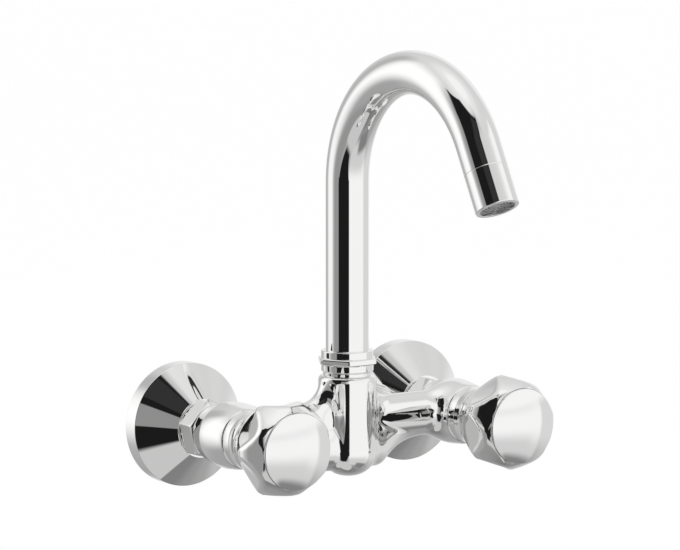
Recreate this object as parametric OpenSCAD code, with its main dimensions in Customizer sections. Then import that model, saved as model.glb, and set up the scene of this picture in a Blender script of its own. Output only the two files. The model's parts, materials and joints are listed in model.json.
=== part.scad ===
// Wall-mounted two-handle sink mixer with a swivelling gooseneck spout.
// Millimetres. X runs along the wall, the wall face is the plane Y = 0, the user stands at -Y and
// Z is up. The origin is on the wall, half way between the two inlet axes.
// Along an inlet, distances are measured from the wall towards the user.

/* [Wall side] */
// Distance between the two inlet axes
inlet_centres = 150; // [130:1:180]
// Major diameter of the G1/2 thread that screws into the wall
wall_thread_d = 20.955; // [20:0.005:22]
// Length of that thread behind the wall face
wall_thread_length = 14; // [10:0.5:20]
// Outer diameter of a cover flange
flange_d = 69; // [60:0.5:80]
// Depth of the flange's cylindrical rim
flange_rim = 9.5; // [3:0.5:11]
// Distance of the flange's front face from the wall
flange_depth = 25.6; // [22:0.1:30]
// Wall thickness of the flange
flange_wall = 1.2; // [0.8:0.1:1.6]
// Bore of a connecting leg
leg_bore_d = 14; // [10:0.5:16]

/* [Unions] */
// Union nut, size across flats
union_af = 30; // [29:0.5:34]
// Union nut, length
union_length = 13; // [12:0.5:16]
// Major diameter of the G3/4 union thread
union_thread_d = 26.44; // [25:0.02:27]
// Thickness of the union washer
washer_t = 2; // [1:0.1:2.5]
// Bore of the tailpieces
tail_bore_d = 12; // [9:0.5:14]

/* [Mixer body] */
// Length of a valve barrel
barrel_length = 31; // [28:0.5:40]
// Largest diameter of a valve barrel
barrel_d = 36; // [34:0.5:42]
// Distance of the spout's axis from the back of the barrels
axis_setback = 17.6; // [15:0.1:20]
// How far the arms' axis lies behind the spout's axis
arm_offset = 2; // [0:0.5:3]
// Height of the arms at their waist
arm_height = 25.2; // [22:0.2:28]
// Depth of the arms at their waist
arm_depth = 18; // [16:0.2:24]
// Height of the arms above the inlet axes
arm_rise = 1.2; // [0:0.2:3]
// Diameter of the centre boss
boss_d = 32.4; // [31:0.2:36]
// Height of the boss's shoulder above the inlet axes
boss_top = 28; // [26:0.5:34]
// Depth of the boss below the inlet axes
boss_drop = 29; // [27:0.2:34]
// Bore of the arms
arm_bore_d = 10; // [8:0.5:11]
// Width over which the boss and the arms blend, on top
blend_top = 14; // [8:0.5:22]
// Width of that blend at the front and the back
blend_side = 4; // [2:0.5:12]
// Width of that blend underneath
blend_under = 38; // [20:0.5:42]
// Width over which the arms and the barrels blend
blend_barrel = 8; // [4:0.5:12]

/* [Valves] */
// Major diameter of the valve headwork's thread
headwork_d = 19.6; // [18.4:0.1:20]
// Hexagon of the headwork, across flats
headwork_af = 21; // [20:0.5:22]
// Diameter of the ceramic discs
disc_d = 16; // [14:0.2:16]
// Thickness of one ceramic disc
disc_t = 3; // [2:0.1:3.5]
// Diameter of the spindle
spindle_d = 8; // [7:0.1:9]
// Running clearance on a radius
running = 0.05; // [0.02:0.01:0.1]

/* [Knobs] */
// Largest diameter of a knob, over its lobes
knob_d = 55.2; // [53:0.2:58]
// Length of a knob from its back rim to its front rim
knob_length = 45.2; // [44:0.2:50]
// Diameter of the knob's neck
knob_neck_d = 30.8; // [30:0.2:33]
// Number of facets in each of a knob's two rows
facets = 6; // [5:1:7]
// Radius of the hollow across a facet of the back row
hollow_r = 26; // [24:1:40]
// Radius across a facet of the front row, nearly flat
flat_r = 120; // [80:1:200]
// Diameter of the knob's cap
cap_d = 42.2; // [38:0.2:43]
// Height of the cap's dome
cap_dome = 4.5; // [3:0.1:5.5]

/* [Spout] */
// Outer diameter of the spout tube
tube_d = 24; // [22:0.1:25]
// Wall thickness of the spout tube
tube_wall = 1.4; // [1:0.1:1.8]
// Height above the inlet axes at which the bend starts
bend_start = 135.2; // [110:0.2:180]
// Radius of the bend's centre line
bend_r = 65; // [50:1:80]
// Angle of the bend, measured from straight up
bend_angle = 151.6; // [120:0.2:170]
// Straight length of the tube after the bend
tail_length = 15.4; // [14:0.2:30]
// Length of the collar that holds the aerator
collar_length = 22; // [20:0.2:26]

/* [Spout nut] */
// Outer diameter of the nut's two round collars
nut_collar_d = 29.2; // [29:0.2:32]
// Hexagon between the collars, across flats
nut_af = 31; // [30:0.2:34]
// Height of the nut
nut_height = 11.6; // [11:0.2:14]
// Thickness of the nut's hexagon
nut_hex_t = 3.9; // [3:0.1:5]

/* [Hidden] */
$fn = 72;
play = 0.3;          // gap between neighbours that don't touch
touch = 0.05;        // gap between flat faces that slide on each other

// Distances from the wall along an inlet
nut_back = flange_depth + play;
nut_front = nut_back + union_length;
nut_lip = 1.8;
collar_t = 2;
collar_front = nut_front - nut_lip - touch;
collar_back = collar_front - collar_t;
leg_front = collar_back - washer_t;
barrel_back = nut_front + 0.5;
barrel_front = barrel_back + barrel_length;
axis_from_wall = barrel_back + axis_setback;
arm_from_wall = axis_from_wall - arm_offset;
seat = barrel_back + 10;
seal_t = 2;
disc_back = seat + seal_t;
disc_split = disc_back + disc_t;
disc_front = disc_split + touch + disc_t;
drive_t = 2.4;
drive_front = disc_front + touch + drive_t;
hex_t = 5.4;
hex_back = barrel_front + 0.2;
hex_front = hex_back + hex_t;
nose_front = hex_front + 8;
clip_t = 1;
knob_back = barrel_front + 0.8;
knob_front = knob_back + knob_length;
hub_back = nose_front + 2.4;
hub_front = hub_back + 20;
spindle_front = hub_front - 1;
cap_rim = knob_front + 3.4;
cap_back = knob_front - 1;

// Heights along the spout's axis
nut_base = boss_top + 2;
nut_top = nut_base + nut_height;
spout_lip = 2.2;
neck_top = nut_top - 4.6;
ring_t = 1.3;
ring_top = nut_top - spout_lip - touch;
ring_base = ring_top - ring_t;
foot_base = arm_rise + arm_bore_d / 2 + 1;
chamber_base = -boss_drop / 2;
collar_start = tail_length;
collar_end = tail_length + collar_length;

barrel_r = barrel_d / 2;
boss_r = boss_d / 2;
tube_r = tube_d / 2;
tube_bore_r = tube_r - tube_wall;
knob_r = knob_d / 2;
socket_r = 10.3;
neck_r = 13.1;
thread_fit = 0.05;   // radial gap between a screwed thread and its nut

// ---------------------------------------------------------------- placing

// Stands a piece on an inlet axis: its local +Z then points from the wall to the user.
module on_inlet(side) {
    translate([side * inlet_centres / 2, 0, 0]) rotate([90, 0, 0]) children();
}

// Stands a piece on the spout's vertical axis.
module on_spout_axis() {
    translate([0, -axis_from_wall, 0]) children();
}

// Puts a piece on the straight end of the spout: its local +Z then points along the flow.
module on_spout_tail() {
    on_spout_axis()
        translate([0, -bend_r * (1 - cos(bend_angle)), bend_start + bend_r * sin(bend_angle)])
            rotate([bend_angle, 0, 0])
                children();
}

// A ring or a tube from z0 to z1.
module pipe(r_out, r_in, z0, z1) {
    difference() {
        translate([0, 0, z0]) cylinder(r = r_out, h = z1 - z0);
        translate([0, 0, z0 - 1]) cylinder(r = r_in, h = z1 - z0 + 2);
    }
}

// A hexagon with both rims chamfered as on a turned nut.
module hexagon(af, z0, z1, chamfer) {
    corner = af / sqrt(3);
    intersection() {
        translate([0, 0, z0]) rotate(30) cylinder(r = corner, h = z1 - z0, $fn = 6);
        rotate_extrude()
            polygon([
                [0, z0], [af / 2, z0], [corner + 0.01, z0 + chamfer],
                [corner + 0.01, z1 - chamfer], [af / 2, z1], [0, z1]
            ]);
    }
}

// An O-ring round the local Z axis at height z.
module o_ring(r_mid, r_cord, z) {
    rotate_extrude() translate([r_mid, z]) circle(r = r_cord, $fn = 24);
}

// ---------------------------------------------------------------- wall side

leg_hex_af = 27;
module inlet_leg(side) {
    color("gainsboro") on_inlet(side) difference() {
        union() {
            translate([0, 0, -wall_thread_length])
                cylinder(d = wall_thread_d, h = wall_thread_length + 3);
            translate([0, 0, 2]) cylinder(d = union_thread_d - 3, h = 17);
            hexagon(leg_hex_af, 4, 12, 1.2);
            translate([0, 0, 18]) cylinder(d = union_thread_d, h = leg_front - 18);
        }
        translate([0, 0, -wall_thread_length - 1])
            cylinder(d = leg_bore_d, h = wall_thread_length + leg_front + 2);
    }
}

// Height of the flange's outer surface over the wall at radius r, for the cone between rim and nut.
flange_mouth_r = union_af / 2 + 1.4;

module wall_flange(side) {
    r = flange_d / 2;
    hole = union_thread_d / 2 + play;
    slope = sqrt(pow(r - flange_mouth_r, 2) + pow(flange_depth - flange_rim, 2));
    t = flange_wall * slope / (r - flange_mouth_r);
    color("gainsboro") on_inlet(side) rotate_extrude($fn = 120)
        polygon([
            [r - flange_wall, 0], [r - 0.2, 0], [r, 0.3], [r, flange_rim - 0.4],
            [r - 0.3, flange_rim + 0.1],
            [flange_mouth_r, flange_depth], [hole, flange_depth], [hole, flange_depth - flange_wall],
            [flange_mouth_r - 0.6, flange_depth - t], [r - flange_wall, flange_rim - t + 0.5]
        ]);
}

module union_nut(side) {
    color("silver") on_inlet(side) difference() {
        rotate(15) hexagon(union_af, nut_back, nut_front, 1.6);
        translate([0, 0, nut_back - 1])
            cylinder(d = union_thread_d + 2 * thread_fit, h = collar_front - nut_back + 1 + touch);
        translate([0, 0, nut_back]) cylinder(d = union_thread_d - 5.4, h = union_length + 1);
    }
}

module inlet_washer(side) {
    color("dimgray") on_inlet(side)
        pipe(union_thread_d / 2 - 0.6, leg_bore_d / 2 + 0.6, leg_front, leg_front + washer_t);
}

tail_thread_d = 19;
module tailpiece(side) {
    color("goldenrod") on_inlet(side) difference() {
        union() {
            translate([0, 0, collar_back]) cylinder(d = union_thread_d - 0.4, h = collar_t);
            translate([0, 0, collar_front]) cylinder(d = tail_thread_d, h = seat - 3.4 - collar_front);
        }
        translate([0, 0, collar_back - 1]) cylinder(d = tail_bore_d, h = seat);
        // hexagon socket by which it is screwed in
        translate([0, 0, collar_back - 1]) cylinder(r = (tail_bore_d + 1) / sqrt(3), h = 7, $fn = 6);
    }
}

// ---------------------------------------------------------------- mixer body

// Radius of a barrel at distance d from the wall: fullest a little in front of its middle.
function barrel_radius(d) =
    let (middle = barrel_back + 0.54 * barrel_length, t = (d - middle) / (barrel_length / 2))
    barrel_r - 1.45 * t * t - 0.55 * pow(t, 4);

module barrel_form() {
    steps = 14;
    rotate_extrude() polygon(concat(
        [[0, barrel_back], [barrel_radius(barrel_back) - 1, barrel_back]],
        [for (i = [0:steps]) let (d = barrel_back + 1 + i * (barrel_length - 1.6) / steps) [barrel_radius(d), d]],
        [[barrel_radius(barrel_front) - 0.6, barrel_front], [0, barrel_front]]
    ));
}

// The casting between the barrels is one blended skin. These functions give a point's distance
// outside the boss, the arms and the barrels, with x and y counted from the spout's axis and z
// from the inlet axes. The skin is where the blend of the three is zero.
boss_round_from = -14;   // height at which the boss starts to round off underneath
boss_power = 2.2;        // fullness of that rounding
boss_lean = 1;           // how far its lowest point lies in front of its axis
skin_inset = 0.25;       // how deep the skin lies inside the turned barrels
skin_margin = 1.2;       // how far it stays from the flat ends of the barrels

function boss_distance(x, y, z) =
    let (under = max(0, boss_round_from - z) / (boss_drop + boss_round_from))
    boss_r * (pow(pow(norm([x, y + boss_lean * under]) / boss_r, boss_power) + pow(under, boss_power), 1 / boss_power) - 1);

function arm_distance(y, z) =
    (norm([(y - arm_offset) / arm_depth, (z - arm_rise) / arm_height]) * 2 - 1) * (arm_depth + arm_height) / 4;

// Joins two distances, with the corner between them filled over the width k.
function blend(a, b, k) = min(a, b) - pow(max(k - abs(a - b), 0), 2) / (4 * k);

// Runs smoothly from 0 at t = 0 to 1 at t = 1.
function ease(t) = let (u = min(1, max(0, t))) u * u * (3 - 2 * u);

// Width of the boss's blend at x in the direction a round the arms: 0 is towards the wall, 90 is
// up. Straight over and under the boss there is no corner to fill, so it fades out there.
function boss_blend(x, a) =
    blend_side + pow(sin(a), 2) * (sin(a) > 0
        ? (blend_top - blend_side) * ease((abs(x) / boss_r - 0.25))
        : (blend_under - blend_side) * ease((abs(x) / boss_r - 0.2) / 1.2));

function skin_distance(x, y, z, a) =
    let (d = axis_from_wall - y,
        outer = max(blend(arm_distance(y, z),
                norm([abs(x) - inlet_centres / 2, z]) - barrel_radius(d) + skin_inset, blend_barrel),
            barrel_back + skin_margin - d, d - barrel_front + skin_margin))
    max(blend(boss_distance(x, y, z), outer, boss_blend(x, a)), z - skin_top);

// Radius of the skin in the direction a round the arms, halved in from both sides.
function skin_radius(x, a, low, high, turns) =
    turns == 0 ? (low + high) / 2 :
    let (r = (low + high) / 2,
        out = skin_distance(x, arm_offset + r * cos(a), arm_rise + r * sin(a), a) > 0)
    skin_radius(x, a, out ? low : r, out ? r : high, turns - 1);

skin_top = boss_top + 4;
shoulder_base = boss_top - 3.4;
skin_end = inlet_centres / 2 - 9;
skin_sides = 40;
// Stations along an arm: fine over the boss's limb, where the skin turns fastest.
skin_stations = let (blended = boss_r + 24) concat(
    [for (i = [0:9]) boss_r * sin(i * 9)],
    [for (t = [0:0.125:1]) boss_r + 0.02 + (blended - boss_r) * t * t],
    [for (t = [0.125:0.125:1]) blended + (skin_end - blended) * t]
);

module skin() {
    n = len(skin_stations);
    half = [for (x = skin_stations) [for (j = [0:skin_sides - 1]) skin_radius(x, j * 360 / skin_sides, 0, boss_drop + boss_top, 18)]];
    rows = concat([for (i = [n - 1:-1:1]) [-skin_stations[i], half[i]]], [for (i = [0:n - 1]) [skin_stations[i], half[i]]]);
    count = len(rows);
    points = [for (row = rows, j = [0:skin_sides - 1]) let (a = j * 360 / skin_sides)
        [row[0], arm_offset + row[1][j] * cos(a), arm_rise + row[1][j] * sin(a)]];
    function at(i, j) = i * skin_sides + j % skin_sides;
    polyhedron(points, concat(
        [[for (j = [0:skin_sides - 1]) at(0, j)]],
        [for (i = [0:count - 2], j = [0:skin_sides - 1]) each [
            [at(i, j), at(i + 1, j), at(i + 1, j + 1)], [at(i, j), at(i + 1, j + 1), at(i, j + 1)]]],
        [[for (j = [skin_sides - 1:-1:0]) at(count - 1, j)]]
    ));
}

// The top of the boss, turned, with its rounded shoulder. It stands a little outside the skin.
module boss_shoulder() {
    r = boss_r + 0.2;
    rotate_extrude() polygon([
        [0, boss_top], [r - 2.6, boss_top], [r - 1.2, boss_top - 0.5],
        [r - 0.3, boss_top - 1.6], [r, boss_top - 3], [r, shoulder_base],
        [r - 0.5, shoulder_base], [r - 0.5, shoulder_base - 6], [0, shoulder_base - 6]
    ]);
}

module mixer_body() {
    color("gainsboro") difference() {
        union() {
            on_spout_axis() {
                difference() {
                    skin();
                    translate([0, 0, shoulder_base + 25]) cube([80, 80, 50], center = true);
                }
                boss_shoulder();
                translate([0, 0, boss_top - 1]) cylinder(r = neck_r + 0.45, h = 3 - play);
                translate([0, 0, boss_top]) cylinder(r = neck_r, h = neck_top - boss_top);
            }
            for (side = [-1, 1]) on_inlet(side) barrel_form();
        }
        for (side = [-1, 1]) on_inlet(side) {
            translate([0, 0, barrel_back - 1]) cylinder(d = tail_thread_d + 2 * thread_fit, h = seat - 3.4 - barrel_back + 1);
            translate([0, 0, barrel_back]) cylinder(d = tail_bore_d, h = barrel_length);
            translate([0, 0, seat]) cylinder(d = headwork_d + 2 * thread_fit, h = barrel_length);
        }
        on_spout_axis() {
            translate([0, 0, foot_base - play]) cylinder(r = socket_r, h = neck_top - foot_base + play + 1);
            translate([0, 0, chamber_base]) cylinder(r = socket_r - 2, h = foot_base - chamber_base);
            translate([-inlet_centres / 2, arm_offset, arm_rise])
                rotate([0, 90, 0]) cylinder(d = arm_bore_d, h = inlet_centres);
        }
    }
}

// ---------------------------------------------------------------- ceramic valves

// Two opposite quarter openings in a disc.
module disc_windows(z0, h) {
    for (turn = [0, 180]) rotate(turn)
        translate([0, 0, z0]) rotate_extrude(angle = 80) translate([2.2, 0]) square([disc_d / 2 - 4, h]);
}

module headwork(side) {
    cup_r = disc_d / 2 + thread_fit;
    color("goldenrod") on_inlet(side) difference() {
        union() {
            translate([0, 0, seat + 0.6]) cylinder(d = headwork_d, h = hex_back - seat);
            hexagon(headwork_af, hex_back, hex_front, 1);
            translate([0, 0, hex_back]) cylinder(r = spindle_d / 2 + 3, h = nose_front - hex_back);
        }
        translate([0, 0, seat - 1]) cylinder(r = cup_r, h = drive_front + touch - seat + 1);
        translate([0, 0, seat]) cylinder(r = spindle_d / 2 + running, h = nose_front);
        // side ports through which the water leaves the discs
        for (turn = [0, 90]) rotate(turn)
            translate([-headwork_d, -3.5, disc_split]) cube([2 * headwork_d, 7, disc_t]);
    }
}

module seat_seal(side) {
    color("black") on_inlet(side) pipe(disc_d / 2 - 0.4, tail_bore_d / 2 - 1, seat, seat + seal_t);
}

module fixed_disc(side) {
    color("white") on_inlet(side) difference() {
        translate([0, 0, disc_back]) cylinder(d = disc_d, h = disc_t);
        disc_windows(disc_back - 1, disc_t + 2);
    }
}

module moving_disc(side) {
    color("ivory") on_inlet(side) difference() {
        translate([0, 0, disc_split + touch]) cylinder(d = disc_d - 2 * running, h = disc_t);
        rotate(90) disc_windows(disc_split, disc_t + 2);
        // slot for the spindle's key
        translate([-disc_d, -1.6, disc_front - 1.2]) cube([2 * disc_d, 3.2, 2]);
    }
}

clip_groove = nose_front + 0.3;
module spindle(side) {
    color("goldenrod") on_inlet(side) difference() {
        union() {
            translate([0, 0, disc_front + touch]) cylinder(r = disc_d / 2 - running, h = drive_t - touch);
            translate([-disc_d / 2 + 1, -1.5, disc_front - 1.1]) cube([disc_d - 2, 3, 2]);
            translate([0, 0, drive_front - 1]) cylinder(d = spindle_d, h = hub_back - drive_front + 1);
            // splined end that carries the knob
            translate([0, 0, hub_back]) spline(spindle_d / 2 - 0.1, spindle_front - hub_back);
        }
        translate([0, 0, spindle_front - 12]) cylinder(r = screw_r, h = 13);
        pipe(spindle_d, spindle_d / 2 - 0.9, hex_front + 1, hex_front + 3);
        pipe(spindle_d, spindle_d / 2 - 0.7, clip_groove, clip_groove + clip_t + 0.1);
    }
}

// A shaft with twenty straight splines.
module spline(r, h) {
    teeth = 20;
    difference() {
        cylinder(r = r, h = h);
        for (i = [0:teeth - 1]) rotate(i * 360 / teeth)
            translate([r + 0.15, 0, -1]) rotate(45) translate([-0.35, -0.35, 0]) cube([0.7, 0.7, h + 2]);
    }
}

module spindle_o_ring(side) {
    cord = 0.45;
    color("black") on_inlet(side) o_ring(spindle_d / 2 - 0.9 + cord, cord, hex_front + 2);
}

module spindle_clip(side) {
    color("silver") on_inlet(side) difference() {
        pipe(spindle_d / 2 + 1.6, spindle_d / 2 - 0.65, clip_groove + touch, clip_groove + touch + clip_t - touch);
        translate([-1.6, 0, clip_groove - 1]) cube([3.2, spindle_d, clip_t + 2]);
    }
}

// ---------------------------------------------------------------- knobs

screw_r = 2;
hub_r = 7;

// Outline of the knob before its facets are cut: radius and distance from the knob's back.
knob_fullest = 0.75 * knob_length;
neck_edge = knob_neck_d / 2;
knob_outline = [
    [neck_edge - 0.4, 0], [neck_edge, 0.4], [neck_edge + 0.4, 8.8], [neck_edge + 2.4, 12.8],
    [knob_r - 6.2, knob_fullest - 14], [knob_r - 2.5, knob_fullest - 7], [knob_r - 0.4, knob_fullest - 2],
    [knob_r, knob_fullest], [knob_r - 0.4, knob_fullest + 3], [knob_r - 1.9, knob_fullest + 7],
    [knob_r - 3.8, knob_fullest + 10], [cap_d / 2 + 1.9, knob_length - 0.5], [cap_d / 2 + 1.4, knob_length]
];

// A row of facets, each cut by a round bar that leans along the facet's middle line. The line
// passes the radius r_back at z_back and r_front at z_front; the bar starts 2 mm behind it.
module facet_row(r_back, z_back, r_front, z_front, bar_r, turn) {
    lean = atan2(r_front - r_back, z_front - z_back);
    for (i = [0:facets - 1]) rotate(turn + i * 360 / facets)
        translate([r_back, 0, z_back])
            rotate([0, lean, 0])
                translate([bar_r, 0, -2]) cylinder(r = bar_r, h = knob_length);
}

module knob(side) {
    half_pitch = 180 / facets;
    turn = side < 0 ? 4 : 45;
    color("gainsboro") on_inlet(side) translate([0, 0, knob_back]) difference() {
        rotate_extrude() polygon(concat([[0, 0]], knob_outline, [[0, knob_length]]));
        facet_row(knob_r - 0.6, knob_fullest - 0.9, cap_d / 2 + 1, knob_length, flat_r, turn);
        facet_row(neck_edge + 2.8, 13.8, knob_r - 4.8, knob_fullest - 1.1, hollow_r, turn + half_pitch);
        // hollow over the headwork
        translate([0, 0, -1]) cylinder(r = headwork_af / sqrt(3) + 0.7, h = hub_back - knob_back + 1);
        // bore for the splined end
        cylinder(r = spindle_d / 2 - 0.1 + running, h = knob_length);
        // hollow under the cap, round the hub
        pipe(cap_d / 2 - 4, hub_r, hub_back - knob_back + 6, knob_length);
        translate([0, 0, hub_front - knob_back]) cylinder(r = cap_d / 2 - 4, h = knob_length);
        translate([0, 0, cap_back - knob_back]) cylinder(r = cap_d / 2 + 0.15, h = knob_length);
    }
}

module knob_screw(side) {
    color("silver") on_inlet(side) difference() {
        union() {
            translate([0, 0, spindle_front - 10]) cylinder(r = screw_r - 0.02, h = hub_front - spindle_front + 10);
            translate([0, 0, hub_front]) cylinder(r1 = 4.4, r2 = 3.6, h = 2.4);
        }
        for (turn = [0, 90]) rotate(turn)
            translate([-2.4, -0.45, hub_front + 1.1]) cube([4.8, 0.9, 3]);
    }
}

module knob_cap(side) {
    r = cap_d / 2;
    dome_r = (r * r + cap_dome * cap_dome) / (2 * cap_dome);
    steps = 10;
    color("white") on_inlet(side) {
        rotate_extrude() polygon(concat(
            [[0, cap_back], [r - 0.2, cap_back], [r, cap_back + 0.2], [r, cap_rim - 0.5], [r - 0.4, cap_rim]],
            [for (i = [1:steps]) let (x = (r - 0.4) * (1 - i / steps))
                [x, cap_rim + cap_dome - dome_r + sqrt(dome_r * dome_r - x * x)]]
        ));
        pipe(r - 4 - running, r - 5.2, cap_back - 4, cap_back + 0.5);
    }
}

// ---------------------------------------------------------------- spout

module spout_nut() {
    hex_base = nut_base + (nut_height - nut_hex_t) / 2;
    color("silver") on_spout_axis() difference() {
        union() {
            rotate_extrude() polygon([
                [0, nut_base], [nut_collar_d / 2 - 0.5, nut_base], [nut_collar_d / 2, nut_base + 0.5],
                [nut_collar_d / 2, nut_top - 0.5], [nut_collar_d / 2 - 0.5, nut_top], [0, nut_top]
            ]);
            hexagon(nut_af, hex_base, hex_base + nut_hex_t, 1.1);
        }
        translate([0, 0, nut_base - 1]) cylinder(r = neck_r + thread_fit, h = ring_top + touch - nut_base + 1);
        translate([0, 0, nut_base]) cylinder(r = tube_r + running, h = nut_height + 1);
    }
}

// A round bar along the spout's centre line: from height z0 up the riser, round the bend and down
// the tail. The tail is sized by a hundredth over the bend, which it overlaps a little.
module spout_run(r, sizing, z0, extra) {
    lap = 0.3;
    on_spout_axis() translate([0, -bend_r, bend_start]) rotate([90, 0, 90]) {
        translate([bend_r, 0, 0]) rotate([90, 0, 0]) cylinder(r = r, h = bend_start - z0);
        rotate_extrude(angle = bend_angle) translate([bend_r, 0]) circle(r = r);
        rotate(bend_angle) translate([bend_r, -lap, 0]) rotate([-90, 0, 0])
            cylinder(r = r + sizing, h = tail_length + lap + extra);
    }
}

module spout_tube() {
    sizing = 0.04;
    color("gainsboro") difference() {
        spout_run(tube_r, sizing, neck_top + play, 0);
        spout_run(tube_bore_r, -sizing, neck_top - 1, 1);
        // groove for the split ring
        on_spout_axis() pipe(tube_r + 1, tube_r - 0.6, ring_base - touch, ring_top + touch);
    }
}

module split_ring() {
    color("white") on_spout_axis() difference() {
        pipe(neck_r - 0.3, tube_r - 0.55, ring_base, ring_top);
        translate([-1, 0, ring_base - 1]) cube([2, neck_r + 1, ring_t + 2]);
    }
}

foot_r = socket_r - running;
foot_bore_r = 7.5;
ring_groove = 1.7;
ring_heights = [foot_base + 5, foot_base + 13];
module spout_foot() {
    color("goldenrod") on_spout_axis() difference() {
        union() {
            translate([0, 0, foot_base]) cylinder(r = foot_r, h = neck_top - foot_base + play);
            translate([0, 0, neck_top + play]) cylinder(r = tube_bore_r - running, h = 12);
        }
        translate([0, 0, foot_base - 1]) cylinder(r = foot_bore_r, h = neck_top + 20);
        for (z = ring_heights) pipe(socket_r + 1, foot_r - ring_groove, z - 1.2, z + 1.2);
    }
}

module spout_o_rings() {
    cord = ring_groove / 2;
    color("black") on_spout_axis() for (z = ring_heights) o_ring(foot_r - ring_groove + cord, cord, z);
}

bush_bore_r = 8.6;
bush_grip = 8;      // length brazed into the tube, and length of the thread in front of it
module outlet_bush() {
    color("goldenrod") on_spout_tail() difference() {
        union() {
            translate([0, 0, collar_start - bush_grip]) cylinder(r = tube_bore_r - 2 * running, h = bush_grip + 0.5);
            translate([0, 0, collar_start + 0.1]) cylinder(r = tube_r - 1.1, h = bush_grip);
        }
        translate([0, 0, collar_start - bush_grip - 1]) cylinder(r = bush_bore_r, h = 2 * bush_grip + 4);
    }
}

insert_r = tube_r - 1.6;
washer_back = collar_start + 8.2;
insert_back = washer_back + 1.6;
insert_front = collar_end - 2;
module aerator_housing() {
    color("gainsboro") on_spout_tail() difference() {
        rotate_extrude() polygon([
            [0, collar_start + 0.15], [tube_r - 0.3, collar_start + 0.15], [tube_r, collar_start + 0.5],
            [tube_r, collar_end - 0.8], [tube_r - 0.3, collar_end - 0.2], [tube_r - 0.7, collar_end], [0, collar_end]
        ]);
        translate([0, 0, collar_start]) cylinder(r = tube_r - 1.1 + thread_fit, h = washer_back - collar_start + 0.1);
        translate([0, 0, collar_start + 1]) cylinder(r = insert_r + running, h = insert_front - collar_start - 1);
        translate([0, 0, collar_start + 1]) cylinder(r = insert_r - 0.7, h = collar_length);
    }
}

module aerator_washer() {
    color("black") on_spout_tail() pipe(insert_r, 7.4, washer_back, insert_back);
}

// A plastic cage: a dished sieve at the top, a wall, and rings on spokes at the outlet.
module aerator_insert() {
    grid_t = 1.4;
    pitch = 1.7;
    color("lightgray") on_spout_tail() {
        pipe(insert_r, insert_r - 1.5, insert_back, insert_front);
        difference() {
            translate([0, 0, insert_back]) cylinder(r = insert_r - 1, h = 1.2);
            for (ring = [1:4], i = [0:6 * ring - 1]) rotate(i * 60 / ring)
                translate([ring * 1.8, 0, insert_back - 1]) cylinder(r = 0.5, h = 4, $fn = 16);
        }
        for (i = [1:4]) pipe(i * pitch + 0.35, i * pitch - 0.35, insert_front - grid_t, insert_front);
        for (turn = [0:30:150]) rotate(turn)
            translate([-insert_r + 1, -0.3, insert_front - grid_t]) cube([2 * insert_r - 2, 0.6, grid_t]);
    }
}

// ---------------------------------------------------------------- drawing

mixer_body();
inlet_leg(-1);  // inlet_leg_left
inlet_leg(1);  // inlet_leg_right
wall_flange(-1);  // wall_flange_left
wall_flange(1);  // wall_flange_right
union_nut(-1);  // union_nut_left
union_nut(1);  // union_nut_right
inlet_washer(-1);  // inlet_washer_left
inlet_washer(1);  // inlet_washer_right
tailpiece(-1);  // tailpiece_left
tailpiece(1);  // tailpiece_right
headwork(-1);  // headwork_left
headwork(1);  // headwork_right
seat_seal(-1);  // seat_seal_left
seat_seal(1);  // seat_seal_right
fixed_disc(-1);  // fixed_disc_left
fixed_disc(1);  // fixed_disc_right
moving_disc(-1);  // moving_disc_left
moving_disc(1);  // moving_disc_right
spindle(-1);  // spindle_left
spindle(1);  // spindle_right
spindle_o_ring(-1);  // spindle_o_ring_left
spindle_o_ring(1);  // spindle_o_ring_right
spindle_clip(-1);  // spindle_clip_left
spindle_clip(1);  // spindle_clip_right
knob(-1);  // knob_left
knob(1);  // knob_right
knob_screw(-1);  // knob_screw_left
knob_screw(1);  // knob_screw_right
knob_cap(-1);  // knob_cap_left
knob_cap(1);  // knob_cap_right
spout_nut();
spout_tube();
spout_foot();
spout_o_rings();
split_ring();
outlet_bush();
aerator_housing();
aerator_washer();
aerator_insert();
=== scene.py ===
"""Looks of the wall-mounted sink mixer: its polished surfaces, finishes, studio and camera.

Shapes are worked out in millimetres in the model's own frame: X runs along the wall, the wall face
is Y = 0, the user stands at -Y and Z is up. Along an inlet, distances count from the wall towards
the user, as they do in the part's source, whose sizes are repeated here.
"""

import json
import math

import bpy
import numpy as np
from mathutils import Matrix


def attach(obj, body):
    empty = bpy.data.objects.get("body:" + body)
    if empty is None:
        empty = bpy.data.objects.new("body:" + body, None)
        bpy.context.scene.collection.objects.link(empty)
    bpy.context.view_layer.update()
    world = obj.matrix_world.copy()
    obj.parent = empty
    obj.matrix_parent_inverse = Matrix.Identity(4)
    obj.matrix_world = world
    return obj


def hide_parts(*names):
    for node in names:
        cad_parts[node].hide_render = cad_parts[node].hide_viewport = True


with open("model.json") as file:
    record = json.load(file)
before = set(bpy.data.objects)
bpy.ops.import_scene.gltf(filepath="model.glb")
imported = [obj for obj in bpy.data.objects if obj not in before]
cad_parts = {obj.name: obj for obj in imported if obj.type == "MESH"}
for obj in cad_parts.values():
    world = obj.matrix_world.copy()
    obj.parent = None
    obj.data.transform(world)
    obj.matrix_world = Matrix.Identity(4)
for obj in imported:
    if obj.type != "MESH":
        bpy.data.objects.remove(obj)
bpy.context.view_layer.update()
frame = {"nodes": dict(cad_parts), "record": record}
nodes = frame["nodes"]

MM = 0.001
UP = np.array([0.0, 0.0, 1.0])
SIDES = {"left": -1, "right": 1}

# ------------------------------------------------------------------ sizes, from the part's source

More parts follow.
